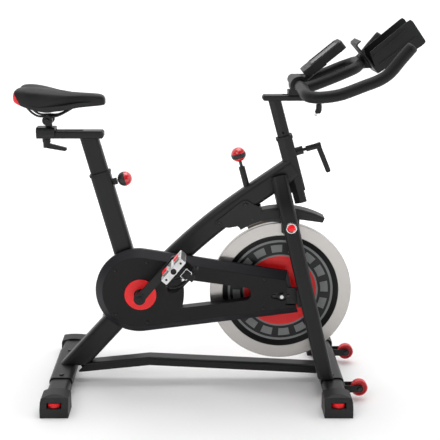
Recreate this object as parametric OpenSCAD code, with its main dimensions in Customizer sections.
// Indoor spin bike: a welded steel frame, a belt-driven flywheel, and a saddle and handlebar
// that slide on leaning posts. X points forward, Y to the rider's left and Z up. The floor is
// at Z = 0 and the drive side, with the belt and its shroud, is at -Y.

/* [Base] */
// Distance from the origin back to the rear stabilizer
rear_x = 503; // [490:1:515]
// Distance from the origin forward to the front stabilizer
front_x = 372; // [368:1:380]
// Overall length of each stabilizer with its end caps
base_width = 580; // [560:2:620]
// Depth of a stabilizer tube, along the bike
stab_depth = 66; // [60:1:70]
// Height of a stabilizer tube
stab_height = 45; // [42:1:46]
// Height of a stabilizer tube's underside above the floor
stab_clear = 14; // [13:1:16]
// Height of the end caps
cap_height = 65; // [64:1:70]
// Radius of a transport wheel
wheel_r = 26; // [24:0.5:28]

/* [Frame] */
// Height of the main beam's section
beam_h = 72; // [66:1:76]
// Width of the main beam's section
beam_w = 54; // [50:1:54]
// Wall of the frame tubes
tube_wall = 2.5; // [2:0.5:3]
// Backward lean of the seat tube, in degrees
seat_lean = 15.3; // [14:0.1:16]
// Backward lean of the head sleeve, in degrees
head_lean = 15.5; // [15:0.1:16]
// Depth of the seat tube, along the bike
seat_tube_d = 64; // [62:1:66]
// Width of the seat tube
seat_tube_w = 46; // [44:1:48]
// Side of the head sleeve's section
head_side = 47; // [46:1:48]

/* [Drive] */
// Distance from the origin back to the crank axis
crank_back = 246; // [240:1:250]
// Height of the crank axis
crank_z = 323; // [318:1:328]
// Crank arm length, axis to pedal axis
crank_len = 170; // [160:1:175]
// Angle of the drive-side crank above horizontal, in degrees
crank_angle = 49; // [40:1:60]
// Distance from the origin forward to the flywheel axis
wheel_x = 208; // [206:1:210]
// Height of the flywheel axis
wheel_z = 317; // [315:1:320]
// Radius of the flywheel
flywheel_r = 230.6; // [226:0.2:231]
// Thickness of the flywheel's rim
flywheel_t = 25; // [20:1:25]
// Running radius of the drive pulley
pulley_r = 105; // [100:1:107]
// Running radius of the flywheel pulley
small_pulley_r = 28; // [26:1:30]

/* [Saddle] */
// Depth of the seat post, along the bike
post_d = 56; // [55:0.5:56]
// Width of the seat post
post_w = 38; // [37:0.5:38]
// Length of the saddle's fore and aft rail
seat_rail_len = 202; // [196:1:206]
// Height of the saddle clamp's pivot
saddle_pivot_z = 880; // [878:1:884]
// Width of the saddle at its rear
saddle_w = 190; // [170:5:200]

/* [Handlebar] */
// Side of the handlebar post's section
bar_post_side = 38; // [37:0.5:38]
// Height of the top of the handlebar's fore and aft rail
bar_rail_top = 958; // [956:1:960]
// Radius of the handlebar tube with its dipped covering
grip_r = 16.5; // [15:0.5:16.5]
// Half distance between the two long prongs
prong_y = 250; // [240:1:255]
// Width of the console
console_w = 112; // [104:2:120]
// Distance between the outer faces of the media holder's side walls
holder_w = 121; // [110:1:122]

/* [Brake] */
// Backward lean of the brake rod, in degrees
brake_lean = 15; // [14:0.5:16]
// Radius of the ball knobs
knob_r = 23.6; // [22:0.2:25]
// Gap between the brake pad and the rim at rest
pad_gap = 6; // [5.6:0.2:7]

/* [Hidden] */
$fn = 64;
fit = 0.05;
gap = 0.3;
far = 400;

steel_black = "#2c2c2d";
plastic_black = "#1b1b1c";
accent_red = "#d8262c";
bare_steel = "#c4c6c8";

crank_x = -crank_back;
stab_z = stab_clear + stab_height/2;
stab_top = stab_clear + stab_height;
plate_t = 4;
plate_half_y = 127;
plate_half_x = stab_depth/2 + plate_t;
cap_len = 82;
cap_depth = 87.5;
cap_y = base_width/2 - cap_len;
leveler_y = base_width/2 - 27;
leveler_r = 22;
transport_y = 151;
transport_x = front_x + 82;
transport_z = 41.5;

// The beam is straight at 48 degrees, bends through an arc and is straight again at 35
beam_low = 48;
beam_high = 35;
beam_bend_r = 1760;
bend_a = [-200, 364];
bend_c = bend_a + beam_bend_r*[sin(beam_low), -cos(beam_low)];
bend_b = bend_c + beam_bend_r*[-sin(beam_high), cos(beam_high)];
beam_foot = bend_a - 455*[cos(beam_low), sin(beam_low)];
beam_head = bend_b + 175*[cos(beam_high), sin(beam_high)];
bb_r = 23;
bb_bore_r = 18.5;
bb_half = 34;
spindle_r = 8.5;

// Origin of the seat tube's frame: the middle of its top end
seat_top = [-370.4, 703.7];
seat_tube_len = 410;
seat_post_below = 222;
seat_rail_top = 846;
seat_rail_h = 24;
seat_rail_w = 50;
seat_rail_x = -566;
seat_post_above = (seat_rail_top - seat_rail_h/2 - seat_top[1])/cos(seat_lean);
pin_down = 33;
pin_r = 5;
groove = 1.5;

// Origin of the head sleeve's frame: the middle of its top end
head_top = [211.4, 819.2];
head_len = 173;
bar_post_below = 212;
bar_rail_h = 18;
bar_rail_w = 44;
bar_rail_x = [147, 334];
bar_post_above = (bar_rail_top - bar_rail_h/2 - head_top[1])/cos(head_lean);
bar_lever_down = 50;

// The fork legs: bend point, foot, and the arc that carries them into the beam's sides
leg_bend = [222, 66, 590];
leg_foot = [351, 127, 58];
leg_w = 50;
leg_d = 34;
leg_run = leg_foot - leg_bend;
leg_pitch = atan2(leg_run[0], -leg_run[2]);
leg_flare = asin(leg_run[1]/norm(leg_run));
leg_arc_r = 285;
leg_arc = 24;
bracket_y = [-60, -54];

// Shroud outline: a round end about the crank, drawn in to a raked front end
shroud_c = [-252, 330];
shroud_r = 140;
shroud_tip_top = [227, 395];
shroud_tip_low = [264, 256];
shroud_face_y = -65;
shroud_edge_y = -43;
shroud_back_y = -31;
shroud_inset = 24;
shroud_t = 3;
belt_y = [-50, -36];
belt_t = 4;
ring_r = 51;

brake_ball = [67, 768];
sleeve_top = -40;
sleeve_end = -186;
shoe_r = flywheel_r + pad_gap;
shoe_arc = [95, 117];
fender_r = 284;
fender_in_r = 250;
fender_y = 31;
fender_t = 3;
carrier_pivot = [112, 562];
carrier_y = 16.5;
magnet_ring_r = 213;

saddle_pivot_x = -529;
rail_y = 22;
bar_c = [252, 988];
console_c = [316, 1079.5];
console_tilt = 39.2;
console_len = 147;
console_t = 25;
button_r = 6;
holder_t = 3;
pedal_y = 180;
pedal_tilt = 50;
pedal_half = 46;
crank_end = [crank_x, crank_z] + crank_len*[cos(crank_angle), sin(crank_angle)];
crank_far_end = [crank_x, crank_z] - crank_len*[cos(crank_angle), sin(crank_angle)];

// Corner points of a rectangle whose corners are rounded
function round_points(w, h, r, n = 4) = [
  for (q = [0:3], i = [0:n])
    let (a = 90*q + 90*i/n, sx = (q == 0 || q == 3) ? 1 : -1, sy = q < 2 ? 1 : -1)
    [sx*(w/2 - r) + r*cos(a), sy*(h/2 - r) + r*sin(a)]];

module round_rect(w, h, r, n = 4) {
  polygon(round_points(w, h, r, n));
}

module round_tube(w, h, r, wall) {
  difference() {
    round_rect(w, h, r);
    round_rect(w - 2*wall, h - 2*wall, max(r - wall, 1));
  }
}

// A straight bar in the XZ plane from a to b: w is its depth in the plane, d its width along Y
module strut(a, b, w, d, r) {
  v = b - a;
  translate([a[0], 0, a[1]]) rotate([0, atan2(v[0], v[1]), 0])
    linear_extrude(norm(v)) round_rect(w, d, r);
}

// Places a child drawn about the Y axis at a point in the XZ plane
module at_xz(p) {
  translate([p[0], 0, p[1]]) children();
}

// A cylinder along Y
module y_rod(p, r, y0, y1) {
  translate([p[0], y0, p[1]]) rotate([-90, 0, 0]) cylinder(r = r, h = y1 - y0);
}

// An outline in the XZ plane, given thickness from y0 to y1
module y_plate(y0, y1) {
  translate([0, y1, 0]) rotate([90, 0, 0]) linear_extrude(y1 - y0) children();
}

// A profile swept round the Y axis at point c from angle a0 to a1; its x is the radius
module y_sweep(c, a0, a1) {
  at_xz(c) rotate([90, 0, 0]) rotate([0, 0, a0]) rotate_extrude(angle = a1 - a0, $fn = 180)
    children();
}

// A smooth curve through hand-placed points, with n steps between neighbours
function curve(p, n) = concat([
  for (i = [0:len(p) - 2], k = [0:n - 1])
    let (t = k/n, a = p[max(i - 1, 0)], b = p[i], c = p[i + 1], d = p[min(i + 2, len(p) - 1)])
    b + (c - a)*t/2 + (2*a - 5*b + 4*c - d)*t*t/2 + (3*b - a - 3*c + d)*t*t*t/2],
  [p[len(p) - 1]]);

function unit(v) = v/norm(v);

// A bar of any section that follows a path which never runs straight up
module swept(path, section) {
  last = len(path) - 1;
  sides = len(section);
  points = [for (i = [0:last])
    let (t = unit(path[min(i + 1, last)] - path[max(i - 1, 0)]), u = unit(cross(t, [0, 0, 1])),
      v = cross(u, t))
    for (p = section) path[i] + p[0]*u + p[1]*v];
  walls = [for (i = [0:last - 1], k = [0:sides - 1])
    let (n = (k + 1) % sides, b = i*sides, c = b + sides)
    each [[b + k, b + n, c + n], [b + k, c + n, c + k]]];
  polyhedron(points, concat(walls, [[for (k = [sides - 1:-1:0]) k],
    [for (k = [0:sides - 1]) last*sides + k]]));
}

module swept_bar(path, r, sides = 16) {
  swept(path, [for (k = [0:sides - 1]) r*[cos(360*k/sides), sin(360*k/sides)]]);
}

module seat_frame() {
  at_xz(seat_top) rotate([0, -seat_lean, 0]) children();
}

module head_frame() {
  at_xz(head_top) rotate([0, -head_lean, 0]) children();
}

module brake_frame() {
  at_xz(brake_ball) rotate([0, -brake_lean, 0]) children();
}

module console_frame() {
  at_xz(console_c) rotate([0, -console_tilt, 0]) children();
}

module beam_shape(h, w, r) {
  strut(beam_foot, bend_a, h, w, r);
  y_sweep(bend_c, 90 + beam_high, 90 + beam_low) translate([beam_bend_r, 0]) round_rect(h, w, r);
  strut(bend_b, beam_head, h, w, r);
}

module beam_envelope() {
  beam_shape(beam_h, beam_w, 18);
}

// The head sleeve's section: a square with its two rear corners cut away
module head_section(s, cut_x, cut_y) {
  nose = 4;
  polygon([[s/2, nose - s/2], [s/2, s/2 - nose], [s/2 - nose, s/2], [cut_x - s/2, s/2],
    [-s/2, s/2 - cut_y], [-s/2, cut_y - s/2], [cut_x - s/2, -s/2], [s/2 - nose, -s/2]]);
}

module head_envelope() {
  head_frame() translate([0, 0, -head_len]) linear_extrude(head_len)
    head_section(head_side, 20, 12);
}

// Main beam with the bottom bracket shell and the brake sleeve welded through it
module main_beam() {
  color(steel_black) difference() {
    union() {
      difference() {
        beam_envelope();
        beam_shape(beam_h - 2*tube_wall, beam_w - 2*tube_wall, 15);
        head_envelope();
        translate([-rear_x - far/2, -far/2, stab_top + plate_t - far]) cube(far);
      }
      y_rod([crank_x, crank_z], bb_r, -bb_half, bb_half);
      brake_frame() translate([0, 0, sleeve_end]) cylinder(r = 10, h = sleeve_top - sleeve_end);
    }
    y_rod([crank_x, crank_z], bb_bore_r, -bb_half - 1, bb_half + 1);
    brake_frame() {
      translate([0, 0, sleeve_end - 1]) cylinder(r = pin_r + fit, h = 160);
      translate([0, 0, sleeve_end + 12]) cylinder(r = 7.6, h = 120);
    }
  }
}

// Long floor rail between the two mount plates, bent once behind the crank
module floor_rail() {
  h = 30;
  w = 52;
  path = [[-rear_x + plate_half_x - 20, 0, 47.5], [-222, 0, 75.5],
    [front_x - plate_half_x + 20, 0, 45.5]];
  past = [2, 0, 0];
  color(steel_black) difference() {
    swept(path, round_points(w, h, 8));
    swept([path[0] - past, path[1], path[2] + past],
      round_points(w - 2*tube_wall, h - 2*tube_wall, 8 - tube_wall));
    beam_envelope();
    for (x = [-rear_x, front_x]) translate([x, -far/2, stab_z]) rotate([-90, 0, 0])
      linear_extrude(far) round_rect(stab_depth + 2*plate_t, stab_height + 2*plate_t, 14);
  }
}

// The two plates that wrap over the stabilizer tubes
module mount_plates() {
  color(steel_black) for (x = [-rear_x, front_x]) difference() {
    translate([x, -plate_half_y, stab_z]) rotate([-90, 0, 0]) linear_extrude(2*plate_half_y)
      round_rect(stab_depth + 2*plate_t, stab_height + 2*plate_t, 14);
    translate([x, -far/2, stab_z]) rotate([-90, 0, 0]) linear_extrude(far)
      round_rect(stab_depth, stab_height, 12);
    translate([x - far/2, -far/2, stab_z + 4 - far]) cube(far);
    for (y = [-103, 103]) translate([x, y, 0]) cylinder(r = 4.3, h = far);
  }
}

// Seat tube coped onto the beam, with the boss that carries the height pin
module seat_tube() {
  color(steel_black) difference() {
    union() {
      seat_frame() translate([0, 0, -seat_tube_len]) linear_extrude(seat_tube_len)
        round_rect(seat_tube_d, seat_tube_w, 12);
      seat_frame() translate([seat_tube_d/2 - 2, 0, -pin_down]) rotate([0, 90, 0])
        cylinder(r = 11, h = 15);
    }
    seat_frame() translate([0, 0, -seat_tube_len - 1]) linear_extrude(seat_tube_len + 2)
      round_rect(seat_tube_d - 2*tube_wall, seat_tube_w - 2*tube_wall, 10);
    seat_frame() translate([0, 0, -pin_down]) rotate([0, 90, 0]) cylinder(r = pin_r + fit, h = 60);
    beam_envelope();
  }
}

// Head sleeve with the threaded boss for the clamp lever
module head_sleeve() {
  color(steel_black) difference() {
    union() {
      head_envelope();
      head_frame() translate([head_side/2 - 2, 0, -bar_lever_down]) rotate([0, 90, 0])
        cylinder(r = 13, h = 26);
    }
    head_frame() translate([0, 0, -head_len - 1]) linear_extrude(head_len + 2)
      head_section(head_side - 5, 18, 11);
    head_frame() translate([0, 0, -bar_lever_down]) rotate([0, 90, 0])
      cylinder(r = pin_r + fit, h = 60);
  }
}

// A fork leg's tube on the +Y side: straight shank and inward arc
module leg_tube(inset) {
  translate([leg_bend[0], leg_bend[1], leg_bend[2]]) rotate([0, -leg_pitch, 0])
    rotate([leg_flare, 0, 0]) {
    translate([0, 0, -norm(leg_run)]) linear_extrude(norm(leg_run))
      round_rect(leg_w - 2*inset, leg_d - 2*inset, 12 - inset);
    translate([0, -leg_arc_r, 0]) rotate([90, 0, 90])
      rotate_extrude(angle = leg_arc, $fn = 180) translate([leg_arc_r, 0])
      round_rect(leg_d - 2*inset, leg_w - 2*inset, 12 - inset);
  }
}

// Fork leg with the bracket that carries the flywheel's axle
module fork_leg() {
  difference() {
    union() {
      difference() {
        leg_tube(0);
        leg_tube(tube_wall);
      }
      y_plate(-bracket_y[1], -bracket_y[0])
        polygon([[176, 296], [182, 290], [300, 290], [288, 345], [190, 345], [176, 338]]);
      difference() {
        y_plate(-bracket_y[0] - 0.5, 92) polygon([[258, 290], [300, 290], [288, 345], [252, 345]]);
        leg_tube(tube_wall);
      }
    }
    beam_envelope();
    head_envelope();
    y_rod([wheel_x, wheel_z], 6.1, 0, far);
    translate([0, 0, stab_top + plate_t - far]) cube([2*far, far, far]);
  }
}

module fork_leg_right() {
  color(steel_black) mirror([0, 1, 0]) fork_leg();
}

module fork_leg_left() {
  color(steel_black) fork_leg();
}

module stabilizer_tube(x) {
  half = cap_y + 18;
  difference() {
    translate([x, -half, stab_z]) rotate([-90, 0, 0]) linear_extrude(2*half)
      round_tube(stab_depth, stab_height, 12, tube_wall);
    for (y = [-103, 103]) translate([x, y, stab_z]) cylinder(r = 4.3, h = far);
  }
}

module rear_stabilizer() {
  color(steel_black) stabilizer_tube(-rear_x);
}

// Front stabilizer with the two forked lugs for the transport wheels
module front_stabilizer() {
  lug_x = front_x + stab_depth/2 - 1;
  color(steel_black) difference() {
    union() {
      stabilizer_tube(front_x);
      for (side = [-1, 1], ear = [-15.5, 15.5]) translate([0, side*transport_y + ear, 0])
        y_plate(-1.5, 1.5) {
          translate([lug_x, 30]) square([transport_x - lug_x, 23]);
          translate([transport_x, transport_z]) circle(11.5);
        }
      for (side = [-1, 1]) translate([lug_x, side*transport_y - 17, 30]) cube([4, 34, 23]);
    }
    y_rod([transport_x, transport_z], 4.05, -far, far);
  }
}

// A round-headed bolt that stands on Z = 0 with its shank below
module bolt(head_r, head_h, shank_r, length) {
  cylinder(r1 = head_r, r2 = head_r - 0.8, h = head_h);
  translate([0, 0, -length]) cylinder(r = shank_r, h = length);
}

// Carriage bolts of the stabilizers and the axle bolts of the transport wheels
module base_bolts() {
  color(bare_steel) {
    for (x = [-rear_x, front_x], y = [-103, 103]) translate([x, y, stab_top + plate_t])
      bolt(8, 3.5, 4.2, 20);
    for (side = [-1, 1]) translate([transport_x, side*transport_y, transport_z]) {
      rotate([90, 0, 0]) translate([0, 0, 17]) bolt(7, 4, 4, 38);
    }
  }
}

// One rubbery end cap on the +Y side of a stabilizer, hollowed for the tube and the leveler
module end_cap(x) {
  slant_z = 30;
  difference() {
    translate([x, 0, 0]) intersection() {
      translate([-cap_depth/2, 0, 0]) rotate([90, 0, 90]) linear_extrude(cap_depth)
        polygon([[cap_y, 0], [base_width/2, 0], [base_width/2, slant_z],
          [base_width/2 - 22, cap_height - 7], [base_width/2 - 34, cap_height], [cap_y, cap_height]]);
      y_plate(0, far) intersection() {
        translate([0, cap_height/2 - 10]) round_rect(cap_depth, cap_height + 20, 18);
        translate([0, cap_height - 95]) circle(95, $fn = 120);
      }
    }
    translate([x, 0, stab_z]) rotate([-90, 0, 0]) linear_extrude(cap_y + 18.2)
      round_rect(stab_depth, stab_height, 12);
    translate([x, leveler_y, 29]) cylinder(r = leveler_r + 1, h = 16);
    translate([x - leveler_r - 1, leveler_y, 29]) cube([2*leveler_r + 2, 40, 16]);
    translate([x, leveler_y, -1]) cylinder(r = 6.5, h = 40);
    translate([x, leveler_y, -1]) cylinder(r = 17, h = 13);
  }
}

module end_caps() {
  color(plastic_black) for (x = [-rear_x, front_x], m = [0, 1]) mirror([0, m, 0]) end_cap(x);
}

// Leveling screw: thumb wheel, threaded stem and foot pad in one
module leveler(x, side) {
  color(accent_red) translate([x, side*leveler_y, 0]) {
    translate([0, 0, 31]) difference() {
      cylinder(r = leveler_r, h = 12);
      for (i = [0:17]) rotate([0, 0, 20*i]) translate([leveler_r + 1, 0, -1])
        cylinder(r = 2, h = 20);
    }
    translate([0, 0, 8]) cylinder(r = 6, h = 24);
    translate([0, 0, 0.5]) cylinder(r = 14, h = 9);
  }
}

module leveler_rear_right() { leveler(-rear_x, -1); }
module leveler_rear_left() { leveler(-rear_x, 1); }
module leveler_front_right() { leveler(front_x, -1); }
module leveler_front_left() { leveler(front_x, 1); }

module transport_wheel(side) {
  color(accent_red) translate([transport_x, side*transport_y, transport_z]) rotate([90, 0, 0])
    rotate_extrude() polygon([[4.1, -13], [9, -13], [11, -9], [18, -9], [20, -12],
      [wheel_r - 3, -12], [wheel_r, -9], [wheel_r, 9], [wheel_r - 3, 12], [20, 12], [18, 9],
      [11, 9], [9, 13], [4.1, 13]]);
}

module transport_wheel_right() { transport_wheel(-1); }
module transport_wheel_left() { transport_wheel(1); }

// Plastic liners that guide the two posts, each with a collar on top of its tube
module post_bushings() {
  color(plastic_black) {
    difference() {
      seat_frame() union() {
        linear_extrude(8) round_rect(seat_tube_d + 5, seat_tube_w + 5, 13);
        translate([0, 0, -70]) linear_extrude(70.5)
          round_rect(seat_tube_d - 2*tube_wall - 0.1, seat_tube_w - 2*tube_wall - 0.1, 10);
      }
      seat_frame() translate([0, 0, -71]) linear_extrude(90)
        round_rect(post_d + 2*gap, post_w + 2*gap, 8.3);
      seat_frame() translate([0, 0, -pin_down]) rotate([0, 90, 0]) cylinder(r = pin_r + 0.3, h = 60);
    }
    difference() {
      head_frame() union() {
        linear_extrude(9) head_section(head_side + 5, 21, 13);
        translate([0, 0, -80]) linear_extrude(80.5) head_section(head_side - 5.1, 18, 11);
      }
      head_frame() translate([0, 0, -81]) linear_extrude(100)
        head_section(bar_post_side + 2*gap, 16, 10);
      head_frame() translate([0, 0, -bar_lever_down]) rotate([0, 90, 0])
        cylinder(r = pin_r + 0.3, h = 60);
    }
  }
}

module ring(outer, inner, h) {
  difference() {
    cylinder(r = outer, h = h);
    translate([0, 0, -1]) cylinder(r = inner, h = h + 2);
  }
}

// Two bearings in the bottom bracket shell and two in the flywheel hub
module bearings() {
  color(bare_steel) {
    for (y = [-bb_half, bb_half - 12]) translate([crank_x, y, crank_z]) rotate([-90, 0, 0])
      ring(bb_bore_r - 0.01, spindle_r + fit, 12);
    for (y = [-22, 10]) translate([wheel_x, y, wheel_z]) rotate([-90, 0, 0])
      ring(15.95, 6, 12);
  }
}

// Outline of a belt loop that stands off both pulleys
module belt_outline(extra) {
  hull() {
    translate([crank_x, crank_z]) circle(pulley_r + extra, $fn = 120);
    translate([wheel_x, wheel_z]) circle(small_pulley_r + extra, $fn = 60);
  }
}

module drive_belt() {
  color(plastic_black) y_plate(belt_y[0], belt_y[1]) difference() {
    belt_outline(belt_t + gap);
    belt_outline(gap);
  }
}

module flywheel_axle() {
  color(bare_steel) y_rod([wheel_x, wheel_z], 5.95, -71, 71);
}

// Axle nuts, spacers and the two tensioner bolts at each end of the axle
module axle_hardware() {
  color(bare_steel) for (m = [0, 1]) mirror([0, m, 0]) {
    translate([wheel_x, -bracket_y[0] + 0.1, wheel_z]) rotate([-90, 0, 0]) difference() {
      union() {
        cylinder(r = 11, h = 1.8);
        translate([0, 0, 1.8]) cylinder(r = 10, h = 7, $fn = 6);
      }
      translate([0, 0, -1]) cylinder(r = 6, h = 12);
    }
    for (x = [184, 229]) translate([x, -bracket_y[0] + 0.1, wheel_z + 2]) rotate([-90, 0, 0])
      bolt(4.5, 4, 2.5, 0.1);
  }
}

module shroud_outline(inset) {
  r = shroud_r - inset;
  drop = [0, inset];
  back = [inset*0.35, 0];
  hull() {
    translate(shroud_c) circle(r, $fn = 128);
    polygon([shroud_tip_top - drop - back, shroud_tip_low + drop - back, shroud_c]);
  }
}

// The window between the belt runs: a wedge with a round front end, cut back round the crank
module shroud_window(extra) {
  tip = [88, 325];
  tip_r = 22 + extra;
  difference() {
    union() {
      translate(tip) circle(tip_r);
      polygon([[-150, 381 + extra], tip + tip_r*[0.153, 0.988], tip + tip_r*[0.124, -0.992],
        [-150, 273 - extra]]);
    }
    translate([crank_x, crank_z]) circle(shroud_r - extra, $fn = 128);
  }
}

module shroud_body(inset, face_y, edge_y, back_y) {
  hull() {
    y_plate(face_y, face_y + 0.1) shroud_outline(inset + shroud_inset);
    y_plate(edge_y, back_y) shroud_outline(inset);
  }
}

// Drive-side shell of the belt guard, with a bevelled rim
module shroud_outer_shell() {
  color(plastic_black) difference() {
    union() {
      difference() {
        shroud_body(0, shroud_face_y, shroud_edge_y, shroud_back_y);
        shroud_body(shroud_t, shroud_face_y + shroud_t, shroud_edge_y, shroud_back_y + 1);
      }
      y_plate(shroud_face_y, shroud_back_y) shroud_window(shroud_t);
    }
    y_plate(shroud_face_y - 1, shroud_back_y + 1) shroud_window(0);
    y_rod([crank_x, crank_z], 22, shroud_face_y - 1, shroud_face_y + 10);
    y_plate(shroud_face_y - 1, bracket_y[1] + 0.5) {
      translate([wheel_x - 24, wheel_z + 2]) circle(10);
      translate([wheel_x + 21, wheel_z + 2]) circle(10);
      translate([wheel_x, wheel_z]) circle(15);
      translate([wheel_x - 24, wheel_z - 8]) square([45, 20]);
      translate([wheel_x + 15, 288]) square([80, 59]);
    }
    y_plate(shroud_face_y + shroud_t, bracket_y[1] + 0.5)
      translate([wheel_x - 34, 288]) square([120, 59]);
  }
}

// Flat inner cover of the belt guard, between the belt and the frame
module shroud_inner_cover() {
  color(plastic_black) y_plate(shroud_back_y - 2.5, shroud_back_y) difference() {
    shroud_outline(shroud_t + 0.3);
    shroud_window(shroud_t + 0.3);
    translate([crank_x, crank_z]) circle(bb_r + 1);
    translate([wheel_x, wheel_z]) circle(small_pulley_r + 6);
  }
}

// Trim ring round the crank on the shroud's face
module crank_ring() {
  color(accent_red) translate([crank_x, shroud_face_y, crank_z]) rotate([90, 0, 0]) difference() {
    union() {
      cylinder(r = ring_r, h = 2.5);
      translate([0, 0, 2.5]) cylinder(r1 = ring_r, r2 = ring_r - 3, h = 2);
    }
    translate([0, 0, -1]) cylinder(r = 21, h = 7);
  }
}

// Fender over the flywheel with the two side plates that bolt to the beam
module fender() {
  channel = [61.5, 122];
  color(plastic_black) difference() {
    union() {
      difference() {
        y_sweep([wheel_x, wheel_z], channel[0], channel[1]) polygon([[fender_in_r, -fender_y],
          [fender_r - 6, -fender_y], [fender_r, 6 - fender_y], [fender_r, fender_y - 6],
          [fender_r - 6, fender_y], [fender_in_r, fender_y], [fender_in_r, fender_y - fender_t],
          [fender_r - 7, fender_y - fender_t], [fender_r - fender_t, fender_y - 7],
          [fender_r - fender_t, 7 - fender_y], [fender_r - 7, fender_t - fender_y],
          [fender_in_r, fender_t - fender_y]]);
        y_plate(-far/2, far/2) polygon([[257, 564], [345, 552], [420, 500], [257, 500]]);
        beam_shape(beam_h + 1, 80, 8);
      }
      for (m = [0, 1]) mirror([0, m, 0]) y_plate(beam_w/2, fender_y) {
        polygon([[0, 541], [-2, 558], [80, 624], [98, 624], [112, 616], [142, 600], [142, 562],
          [89, 548], [73, 534], [66, 541], [38, 536]]);
        translate([8, 550]) circle(12);
        translate([90, 612]) circle(14);
      }
      y_rod(carrier_pivot, 5, -fender_y, -fender_y + 9);
      y_rod(carrier_pivot, 5, fender_y - 9, fender_y);
    }
    y_rod(carrier_pivot, 3.05, -far, far);
    brake_frame() translate([0, 0, -far]) cylinder(r = 11, h = far);
  }
}

// Bottom bracket spindle
module crank_spindle() {
  color(bare_steel) y_rod([crank_x, crank_z], spindle_r, -99, 99);
}

// A crank arm drawn along +X on the +Y side
module crank_arm() {
  difference() {
    union() {
      translate([0, 92, 0]) rotate([-90, 0, 0]) cylinder(r = 19, h = 20);
      translate([crank_len, 100, 0]) rotate([-90, 0, 0]) cylinder(r = 14, h = 14);
      y_plate(97, 110) polygon([[0, -15], [crank_len, -11], [crank_len, 11], [0, 15]]);
    }
    translate([0, 90, 0]) rotate([-90, 0, 0]) cylinder(r = spindle_r, h = 9);
    translate([crank_len, 90, 0]) rotate([-90, 0, 0]) cylinder(r = 7, h = 30);
  }
}

module crank_arm_right() {
  color(steel_black) at_xz([crank_x, crank_z]) rotate([0, -crank_angle, 0]) mirror([0, 1, 0])
    crank_arm();
}

module crank_arm_left() {
  color(steel_black) at_xz([crank_x, crank_z]) rotate([0, 180 - crank_angle, 0]) crank_arm();
}

// Large belt pulley with six lightening holes
module drive_pulley() {
  color(bare_steel) translate([crank_x, belt_y[0], crank_z]) rotate([-90, 0, 0]) difference() {
    union() {
      ring(pulley_r, pulley_r - 8, 14);
      translate([0, 0, 4]) cylinder(r = pulley_r - 7, h = 5);
      cylinder(r = 20, h = 14);
    }
    translate([0, 0, -1]) cylinder(r = spindle_r, h = 20);
    for (i = [0:5]) rotate([0, 0, 60*i]) translate([58, 0, -1]) cylinder(r = 19, h = 20);
  }
}

module pedal_axles() {
  color(bare_steel) {
    y_rod(crank_end, 7, -117, -100);
    y_rod(crank_end, 6, -226, -117);
    y_rod(crank_far_end, 7, 100, 117);
    y_rod(crank_far_end, 6, 117, 226);
  }
}

// Pedal body about its own axle: barrel, two end bars and two side plates, with a clip on top
module pedal_shape() {
  half = pedal_half;
  difference() {
    union() {
      translate([0, -half, 0]) rotate([-90, 0, 0]) cylinder(r = 12, h = 2*half);
      for (x = [-41, 41]) translate([x, 0, 0]) rotate([90, 0, 0]) translate([0, 0, -half])
        linear_extrude(2*half) round_rect(10, 22, 3);
      for (y = [-half + 3, half - 3]) translate([0, y, 0]) y_plate(-3, 3)
        polygon([[-44, -11], [44, -11], [44, 11], [-44, 11]]);
      for (x = [-27, 27]) translate([x, 0, 8]) rotate([90, 0, 0]) translate([0, 0, -22])
        linear_extrude(44) polygon([[-16, -6], [16, -6], [12, 6], [-12, 6]]);
      translate([-38, -9, -4]) cube([76, 18, 8]);
    }
    translate([0, -half - 1, 0]) rotate([-90, 0, 0]) cylinder(r = 6 + fit, h = 2*half + 2);
  }
}

// Toe cage under a pedal: a nose band and a strap loop, open at the back
module cage_shape() {
  nose = [[-49, 9], [-49, -14], [-62, -22], [-65, -36], [-52, -52], [9, -58.5]];
  inner = [[9, -55.5], [-50.5, -49], [-62, -35.5], [-59.5, -24], [-46, -16], [-46, 9]];
  y_plate(-36, 36) polygon(concat(nose, inner));
  difference() {
    translate([8, -pedal_half - 3, -59]) cube([22, 2*pedal_half + 6, 66]);
    translate([7, -pedal_half, -56]) cube([24, 2*pedal_half, 70]);
  }
}

module place_pedal(p, y) {
  translate([p[0], y, p[1]]) rotate([0, -pedal_tilt, 0]) children();
}

module pedal_right() { color(bare_steel) place_pedal(crank_end, -pedal_y) pedal_shape(); }
module pedal_left() { color(bare_steel) place_pedal(crank_far_end, pedal_y) pedal_shape(); }
module pedal_cage_right() { color(plastic_black) place_pedal(crank_end, -pedal_y) cage_shape(); }
module pedal_cage_left() { color(plastic_black) place_pedal(crank_far_end, pedal_y) cage_shape(); }

// Flywheel: heavy rim, thin web and a hub bored for two bearings
module flywheel() {
  rim = flywheel_t/2;
  web = 5;
  color("#b9b4b0") translate([wheel_x, 0, wheel_z]) rotate([90, 0, 0])
    rotate_extrude($fn = 240) polygon([[16, -22], [32, -22], [34, -web], [122, -web],
      [172, -web], [190, -rim], [flywheel_r - 1, -rim], [flywheel_r, 1 - rim],
      [flywheel_r, rim - 1], [flywheel_r - 1, rim], [190, rim], [172, web], [122, web],
      [34, web], [32, 22], [16, 22]]);
}

// Small belt pulley on the flywheel hub, with side flanges
module flywheel_pulley() {
  r = small_pulley_r;
  color(bare_steel) translate([wheel_x, 0, wheel_z]) rotate([90, 0, 0]) rotate_extrude()
    polygon([[17, 22], [26, 22], [26, 34.5], [r + 3.5, 34.5], [r + 3.5, 35.6], [r, 35.6],
      [r, 50.4], [r + 3.5, 50.4], [r + 3.5, 51.5], [7, 51.5], [7, 24], [17, 24]]);
}

// Brake rod with the collar that loads the return spring
module brake_rod() {
  color(bare_steel) brake_frame() {
    translate([0, 0, -228]) cylinder(r = pin_r, h = 216);
    translate([0, 0, -72]) cylinder(r = 7.2, h = 6);
  }
}

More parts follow.
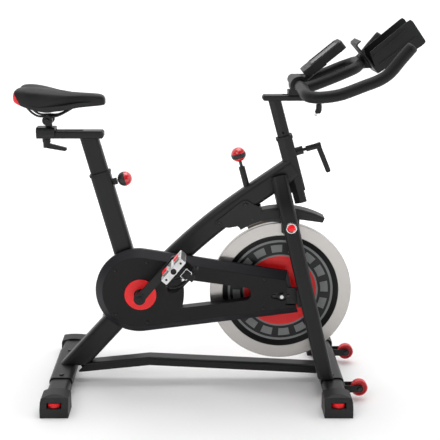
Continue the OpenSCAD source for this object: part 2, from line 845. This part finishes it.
// Ball knob that is turned for resistance and pressed to brake
module ball_knob(stem_r) {
  difference() {
    rotate_extrude() difference() {
      intersection() {
        circle(knob_r, $fn = 96);
        translate([0, -knob_r + 3]) square([knob_r, 2*knob_r]);
      }
      translate([-knob_r, -knob_r]) square([knob_r, 2*knob_r]);
    }
    translate([0, 0, -knob_r - 1]) cylinder(r = stem_r, h = knob_r - 11);
  }
}

module brake_knob() {
  color(accent_red) brake_frame() ball_knob(pin_r + fit);
}

// Curved shoe and felt pad above the rim, on the end of the brake rod
module brake_shoe() {
  color("#3a3733") difference() {
    union() {
      y_sweep([wheel_x, wheel_z], shoe_arc[0], shoe_arc[1]) translate([shoe_r, -12]) square([8, 24]);
      y_sweep([wheel_x, wheel_z], shoe_arc[0] - 0.6, shoe_arc[1] + 0.6) translate([shoe_r + 7.9, -13])
        square([3.5, 26]);
      brake_frame() translate([0, 0, -229]) cylinder(r = 9, h = 14);
    }
    brake_frame() translate([0, 0, -228]) cylinder(r = pin_r, h = 80);
    y_sweep([wheel_x, wheel_z], 80, 130) translate([150, -20]) square([shoe_r - 150, 40]);
  }
}

// Return spring in the brake sleeve, from its seat to the rod's collar
module brake_spring() {
  steps = 14;
  turns = 8;
  pitch = 12.4;
  coil_r = 6.3;
  path = [for (i = [0:steps*turns])
    [coil_r*cos(360*i/steps), coil_r*sin(360*i/steps), pitch*i/steps]];
  color(bare_steel) brake_frame() translate([0, 0, sleeve_end + 13]) swept_bar(path, 0.8, 6);
}

// Magnet carrier: two bars from the pivot, side plates over the rim, six magnets, a cross web
module magnet_carrier() {
  reach = [[106, 556], [118, 556], [206, 552], [207, 518], [217, 511], [250, 509], [261, 514],
    [264, 552], [264, 568], [106, 568]];
  color("#4a4b4d") {
    difference() {
      union() {
        for (side = [-1, 1]) translate([0, side*(carrier_y + 1.5), 0]) y_plate(-1.5, 1.5)
          polygon(reach);
        translate([206, -carrier_y - 1, 563]) cube([44, 2*carrier_y + 2, 4]);
        y_rod(carrier_pivot, 5.5, -21.5, -carrier_y);
        y_rod(carrier_pivot, 5.5, carrier_y, 21.5);
      }
    }
    y_rod(carrier_pivot, 3, -fender_y, -18);
    y_rod(carrier_pivot, 3, 18, fender_y);
    for (side = [-1, 1], a = [78, 83, 88]) {
      p = [wheel_x + magnet_ring_r*cos(a), wheel_z + magnet_ring_r*sin(a)];
      y_rod(p, 9, side > 0 ? 13.6 : -carrier_y, side > 0 ? carrier_y : -13.6);
    }
  }
}

// Seat post with the slotted fore and aft rail across its top
module seat_post() {
  rail_c = seat_rail_top - seat_rail_h/2;
  inner_h = seat_rail_h - 2*tube_wall;
  inner_w = seat_rail_w - 2*tube_wall;
  color(steel_black) difference() {
    union() {
      difference() {
        seat_frame() translate([0, 0, -seat_post_below])
          linear_extrude(seat_post_below + seat_post_above) round_tube(post_d, post_w, 8, tube_wall);
        translate([seat_rail_x, -far/2, seat_rail_top - seat_rail_h + 1]) cube(far);
      }
      difference() {
        translate([seat_rail_x, 0, rail_c]) rotate([90, 0, 90]) linear_extrude(seat_rail_len)
          round_rect(seat_rail_w, seat_rail_h, 6);
        translate([seat_rail_x - 1, 0, rail_c]) rotate([90, 0, 90])
          linear_extrude(seat_rail_len - 4) round_rect(inner_w, inner_h, 3);
        translate([seat_rail_x - 1, -10.5, rail_c]) cube([146, 21, far]);
        translate([-538, 0, rail_c - far]) cylinder(r = pin_r + fit, h = far);
      }
      difference() {
        translate([-538, 0, rail_c - 20]) cylinder(r = 10, h = 20 - seat_rail_h/2 + 1);
        translate([-538, 0, rail_c - far]) cylinder(r = pin_r + fit, h = far);
      }
    }
    seat_frame() translate([post_d/2 - groove, -5.6, -seat_post_below - 1])
      cube([9, 11.2, seat_post_below + 95]);
    seat_frame() for (i = [0:7]) translate([0, 0, 45 - 32*i]) rotate([0, 90, 0])
      cylinder(r = pin_r + 0.3, h = post_d);
  }
}

// Spring-loaded height pin with its ball knob
module seat_pin() {
  color(accent_red) seat_frame() translate([0, 0, -pin_down]) rotate([0, 90, 0]) {
    translate([0, 0, post_d/2 - groove + 0.4]) cylinder(r = pin_r, h = 34);
    translate([0, 0, 70.1]) ball_knob(0.5);
  }
}

// Slider bar inside the seat rail, with the neck and block that carry the saddle's stub
module seat_carriage() {
  rail_c = seat_rail_top - seat_rail_h/2;
  inner_h = seat_rail_h - 2*tube_wall - 2*gap;
  inner_w = seat_rail_w - 2*tube_wall - 2*gap;
  block_x = [-566, -508];
  color(steel_black) difference() {
    union() {
      translate([-561, 0, rail_c]) rotate([90, 0, 90]) linear_extrude(112)
        round_rect(inner_w, inner_h, 2.7);
      translate([block_x[0], -10, rail_c]) cube([block_x[1] - block_x[0], 20, seat_rail_h/2 + 4]);
      translate([block_x[0], 0, 842]) rotate([90, 0, 90]) linear_extrude(block_x[1] - block_x[0])
        difference() {
          round_rect(seat_rail_w + 8, 30, 8);
          translate([0, -10]) square([seat_rail_w + 2*gap, 28 + 2*gap], center = true);
        }
      translate([saddle_pivot_x, 0, 850]) cylinder(r = 11, h = saddle_pivot_z - 855);
      y_rod([saddle_pivot_x, saddle_pivot_z], 12, -14, 14);
    }
    y_rod([saddle_pivot_x, saddle_pivot_z], 4 + fit, -far, far);
  }
}

// Lever that locks the saddle's slide, under the free end of the rail
module seat_lever() {
  tip_z = seat_rail_top - seat_rail_h + tube_wall;
  color(plastic_black) translate([-538, 0, 0]) {
    translate([0, 0, 806]) cylinder(r = pin_r, h = tip_z - 806 - gap);
    translate([0, 0, 791]) cylinder(r = 11, h = 17);
    y_plate(-7, 7) polygon([[-6, 792], [4, 789], [57, 780], [63, 783], [62, 790], [8, 804], [-6, 804]]);
  }
}

// Two-bolt saddle clamp that tilts about the stub's knuckle
module saddle_clamp() {
  color(steel_black) at_xz([saddle_pivot_x, saddle_pivot_z]) difference() {
    union() {
      for (y = [-29, 14.3]) translate([0, y, 0]) rotate([-90, 0, 0]) cylinder(r = 16, h = 14.7);
      translate([0, -29, 0]) rotate([-90, 0, 0]) cylinder(r = 4, h = 58);
    }
    for (y = [-rail_y, rail_y]) translate([-far/2, y, 13]) rotate([0, 90, 0])
      cylinder(r = 3.5 + 2*gap + fit, h = far);
  }
}

// The two steel rails under the saddle
module saddle_rails() {
  z = saddle_pivot_z + 13;
  color(bare_steel) for (y = [-rail_y, rail_y])
    swept_bar(curve([[-450, y*0.7, 919], [-478, y*0.9, 903], [-503, y, z], [-530, y, z],
      [-556, y, z], [-575, y, 903], [-590, y, 919], [-600, y, 935]], 3), 3.5, 12);
}

// Plan outline of the saddle: broad rear, narrow nose
module saddle_plan(inset) {
  rear_r = 52 - inset;
  nose_r = 23 - inset;
  hull() {
    translate([-374, 0]) circle(nose_r, $fn = 48);
    translate([-455, 0]) circle(nose_r + 7, $fn = 48);
    for (side = [-1, 1]) translate([-572, side*(saddle_w/2 - 52)]) circle(rear_r, $fn = 48);
  }
}

// Moulded shell under the saddle, with sockets for the rails' ends
module saddle_base() {
  color(plastic_black) difference() {
    intersection() {
      y_plate(-far/2, far/2) polygon([[-600, 934], [-575, 925], [-545, 916], [-515, 912],
        [-480, 914], [-429, 922], [-352, 926], [-352, 938], [-430, 935], [-480, 929], [-545, 927],
        [-622, 944], [-622, 939]]);
      translate([0, 0, 850]) linear_extrude(200) saddle_plan(5);
    }
    saddle_rails();
  }
}

// Cushion on top of the shell, as one closed solid
module saddle_cushion() {
  color(plastic_black) intersection() {
    y_plate(-far/2, far/2) polygon([[-351, 938.6], [-430, 935.6], [-480, 929.6], [-545, 927.6],
      [-624, 944.6], [-624, 955], [-617, 975], [-590, 983], [-551, 984], [-500, 973],
      [-443, 963], [-372, 959], [-356, 953], [-351, 945]]);
    translate([0, 0, 850]) linear_extrude(200) saddle_plan(0);
  }
}

// Handlebar post with the slotted fore and aft rail across its top
module bar_post() {
  rail_c = bar_rail_top - bar_rail_h/2;
  rail_len = bar_rail_x[1] - bar_rail_x[0];
  color(steel_black) difference() {
    union() {
      difference() {
        head_frame() translate([0, 0, -bar_post_below])
          linear_extrude(bar_post_below + bar_post_above) difference() {
            head_section(bar_post_side, 16, 10);
            head_section(bar_post_side - 2*tube_wall, 14, 9);
          }
        translate([bar_rail_x[0], -far/2, rail_c]) cube(far);
      }
      difference() {
        translate([bar_rail_x[0], 0, rail_c]) rotate([90, 0, 90]) linear_extrude(rail_len)
          round_rect(bar_rail_w, bar_rail_h, 5);
        translate([bar_rail_x[0] + 4, 0, rail_c]) rotate([90, 0, 90]) linear_extrude(rail_len)
          round_rect(bar_rail_w - 2*tube_wall, bar_rail_h - 2*tube_wall, 2.5);
        translate([202, -10.5, rail_c]) cube([far, 21, far]);
      }
      translate([317, 0, 929]) cylinder(r = 9, h = rail_c - bar_rail_h/2 - 929 + 1);
    }
    translate([317, 0, 900]) cylinder(r = pin_r + fit, h = rail_c - 900);
    head_frame() for (i = [0:3]) translate([0, 0, 22 - 55*i]) rotate([90, 0, 0])
      cylinder(r = 3, h = far);
  }
}

// Lever that locks the handlebar's height, on the front of the head sleeve
module bar_post_lever() {
  color(plastic_black) head_frame() translate([0, 0, -bar_lever_down]) {
    rotate([0, 90, 0]) {
      translate([0, 0, bar_post_side/2 + gap]) cylinder(r = pin_r, h = 50);
      translate([0, 0, 58]) cylinder(r = 9, h = 48);
    }
    y_plate(-8, 8) polygon([[92, 8], [104, 9], [116, -84], [114, -90], [104, -91], [101, -88], [90, -6]]);
  }
}

// Slider bar in the handlebar rail, with the clamp ring round the bar and the console's arm
module bar_carriage() {
  rail_c = bar_rail_top - bar_rail_h/2;
  inner_h = bar_rail_h - 2*tube_wall - 2*gap;
  inner_w = bar_rail_w - 2*tube_wall - 2*gap;
  color(plastic_black) difference() {
    union() {
      translate([218, 0, rail_c]) rotate([90, 0, 90]) linear_extrude(110)
        round_rect(inner_w, inner_h, 2.2);
      translate([219, -10, rail_c]) cube([60, 20, bar_rail_h/2 + 4]);
      translate([219, -27, bar_rail_top + gap]) cube([62, 54, 14]);
      y_rod(bar_c, 29, -32, 32);
      strut([262, 1000], [330, 1058], 16, 44, 4);
    }
    y_rod(bar_c, grip_r + gap, -far, far);
    console_block(0);
    translate([190, -far/2, bar_rail_top + gap - 30]) difference() {
      cube([100, far, 30]);
      translate([0, far/2 - 10, 0]) cube([100, 20, 30]);
      translate([0, far/2 - inner_w/2, 0]) cube([100, inner_w, 30 - tube_wall - 2*gap]);
    }
  }
}

// Lever that locks the handlebar's slide, under the front of its rail
module bar_slide_lever() {
  tip_z = bar_rail_top - bar_rail_h + tube_wall;
  color(plastic_black) translate([317, 0, 0]) {
    translate([0, 0, 912]) cylinder(r = pin_r, h = tip_z - 912 - gap);
    translate([0, 0, 908]) cylinder(r = 9, h = 19);
    y_plate(-6, 6) polygon([[-6, 922], [-12, 903], [-9, 899], [4, 899], [8, 908], [8, 922]]);
  }
}

// Half of the handlebar's outer run, from the clamp to the tip of a prong
function prong_path(side) = let (x = bar_c[0], z = bar_c[1], y = side*prong_y) [
  [x, side*70, z], [x, side*140, z - 1], [x, side*205, z - 4], [x + 5, side*231, z - 7],
  [x + 20, side*246, z - 8], [x + 42, y, z - 8], [x + 95, y, z], [x + 160, y, z + 24],
  [x + 205, y, z + 42], [x + 234, y, z + 63], [x + 262, y, z + 98], [x + 292, y, z + 134]];

// Half of the inner loop, from the cross tube to its front
function loop_path(side) = let (x = bar_c[0], z = bar_c[1], y = side*82) [
  [x + 2, y, z - 2], [x + 36, y, z + 7], [x + 90, y, z + 28], [x + 135, y, z + 47],
  [x + 162, side*73, z + 58], [x + 177, side*50, z + 66], [x + 182, side*24, z + 68]];

function backward(p) = [for (i = [len(p) - 1:-1:0]) p[i]];

// Handlebar: cross tube with two rising prongs, and the inner loop welded to it
module handlebar() {
  color(plastic_black) {
    swept_bar(curve(concat(backward(prong_path(-1)), prong_path(1)), 3), grip_r);
    swept_bar(curve(concat(loop_path(-1), backward(loop_path(1))), 3), grip_r - 0.4);
  }
}

module console_block(extra) {
  console_frame() translate([0, 0, -console_t - extra]) linear_extrude(console_t + 2*extra)
    round_rect(console_len + 2*extra, console_w + 2*extra, 14);
}

// Console case, with a pocket for the screen and bores for the buttons
module console_case() {
  color(plastic_black) difference() {
    console_block(0);
    console_frame() {
      translate([12, 0, -1.5]) linear_extrude(5) round_rect(98, console_w - 26, 6);
      for (y = [-30, 0, 30]) translate([-55, y, -6]) cylinder(r = button_r + gap, h = 10);
    }
  }
}

module console_button(y) {
  color("#9a9c9e") console_frame() translate([-55, y, -4.5]) {
    cylinder(r = button_r, h = 5.4);
    translate([0, 0, 5.4]) cylinder(r1 = button_r, r2 = button_r - 1, h = 0.8);
  }
}

module console_button_1() { console_button(-30); }
module console_button_2() { console_button(0); }
module console_button_3() { console_button(30); }

// Media holder: two side walls, the plate a tablet leans on, a shelf with a hooked lip for its
// lower edge, and the foot that is screwed to the front of the handlebar's loop
module media_holder() {
  wall = [[458, 1093], [567, 1184], [575, 1189], [583, 1184], [624, 1127], [624, 1121],
    [613, 1111], [489, 1031], [483, 1032]];
  shelf = [[485, 1029], [435, 1090], [417, 1110], [417, 1117], [429, 1127], [431, 1124.5],
    [421, 1115], [421, 1111], [438.5, 1092], [488, 1031.5]];
  backrest = [[486, 1029.5], [484, 1032.5], [606, 1111], [608, 1108]];
  foot = [[444, 1040], [477, 1042], [450, 1075], [434, 1080]];
  half = holder_w/2;
  color(plastic_black) {
    y_plate(-half, half) polygon(shelf);
    y_plate(-half, half) polygon(backrest);
    for (side = [-1, 1]) translate([0, side*(half - holder_t/2), 0])
      y_plate(-holder_t/2, holder_t/2) polygon(wall);
    difference() {
      y_plate(-20, 20) polygon(foot);
      y_rod([bar_c[0] + 182, bar_c[1] + 68], grip_r + 2*gap, -30, 30);
    }
  }
}

main_beam();
floor_rail();
mount_plates();
seat_tube();
head_sleeve();
fork_leg_right();
fork_leg_left();
rear_stabilizer();
front_stabilizer();
base_bolts();
end_caps();
leveler_rear_right();
leveler_rear_left();
leveler_front_right();
leveler_front_left();
transport_wheel_right();
transport_wheel_left();
post_bushings();
bearings();
drive_belt();
flywheel_axle();
axle_hardware();
shroud_outer_shell();
shroud_inner_cover();
crank_ring();
fender();
crank_spindle();
crank_arm_right();
crank_arm_left();
drive_pulley();
pedal_axles();
pedal_right();
pedal_cage_right();
pedal_left();
pedal_cage_left();
flywheel();
flywheel_pulley();
brake_rod();
brake_knob();
brake_shoe();
brake_spring();
magnet_carrier();
seat_post();
seat_pin();
seat_carriage();
seat_lever();
saddle_clamp();
saddle_rails();
saddle_base();
saddle_cushion();
bar_post();
bar_post_lever();
bar_carriage();
bar_slide_lever();
handlebar();
console_case();
console_button_1();
console_button_2();
console_button_3();
media_holder();
